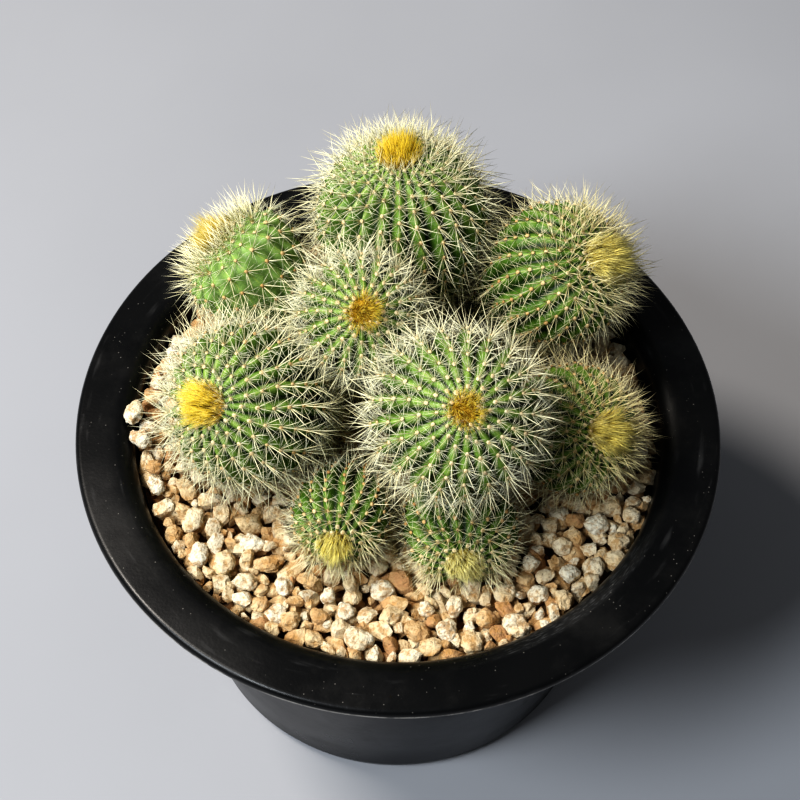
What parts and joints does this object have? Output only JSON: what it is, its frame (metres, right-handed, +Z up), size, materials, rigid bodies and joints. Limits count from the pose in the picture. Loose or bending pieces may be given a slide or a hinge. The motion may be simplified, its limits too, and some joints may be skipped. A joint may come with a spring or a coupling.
{
  "type": "potted balloon cactus",
  "caption": "Clump of ribbed, golden-spined globe cactus heads in a black broad-brimmed plastic pot, top-dressed with pale gravel.",
  "frame": {"origin": "centre of the pot's foot, on the surface that the pot stands on", "axes": "+Z up along the pot's axis; -Y towards the front of the clump; +X to the right seen from the front"},
  "size_m": [0.16, 0.16, 0.1417],
  "materials": {
    "pot": "satin",
    "potting_soil": "matte",
    "gravel": "matte",
    "cactus_skin": "satin",
    "spines": "satin",
    "crown_bristles": "satin",
    "areole_felt": "matte",
    "stone_white": "matte",
    "stone_cream": "matte",
    "stone_beige": "matte",
    "stone_tan": "matte",
    "stone_pink": "matte",
    "stone_brown": "matte"
  },
  "bodies": {
    "root": {"pot": "pot", "potting_soil": "potting_soil", "gravel_bed": "gravel", "head_back": "cactus_skin", "head_back_left": "cactus_skin", "head_middle": "cactus_skin", "head_front": "cactus_skin", "head_left": "cactus_skin", "head_back_right": "cactus_skin", "head_right": "cactus_skin", "pup_front_left": "cactus_skin", "pup_front_right": "cactus_skin", "pebble_white_01": "stone_white", "pebble_cream_02": "stone_cream", "pebble_white_03": "stone_white", "pebble_cream_04": "stone_cream", "pebble_tan_05": "stone_tan", "pebble_white_06": "stone_white", "pebble_pink_07": "stone_pink", "pebble_white_08": "stone_white", "pebble_cream_09": "stone_cream", "pebble_tan_10": "stone_tan", "pebble_white_11": "stone_white", "pebble_tan_12": "stone_tan", "pebble_cream_13": "stone_cream", "pebble_cream_14": "stone_cream", "pebble_pink_15": "stone_pink", "pebble_white_16": "stone_white", "pebble_tan_17": "stone_tan", "pebble_pink_18": "stone_pink", "pebble_tan_19": "stone_tan", "pebble_tan_20": "stone_tan", "pebble_cream_21": "stone_cream", "pebble_tan_22": "stone_tan", "pebble_cream_23": "stone_cream", "pebble_cream_24": "stone_cream", "pebble_cream_25": "stone_cream", "pebble_pink_26": "stone_pink", "pebble_brown_27": "stone_brown", "pebble_beige_28": "stone_beige", "pebble_cream_29": "stone_cream", "pebble_white_30": "stone_white", "pebble_tan_31": "stone_tan", "pebble_beige_32": "stone_beige", "pebble_white_33": "stone_white", "pebble_white_34": "stone_white", "pebble_beige_35": "stone_beige", "pebble_cream_36": "stone_cream", "pebble_beige_37": "stone_beige", "pebble_white_38": "stone_white", "pebble_tan_39": "stone_tan", "pebble_brown_40": "stone_brown", "pebble_tan_41": "stone_tan", "pebble_white_42": "stone_white", "pebble_cream_43": "stone_cream", "pebble_brown_44": "stone_brown"}
  },
  "joints": []
}
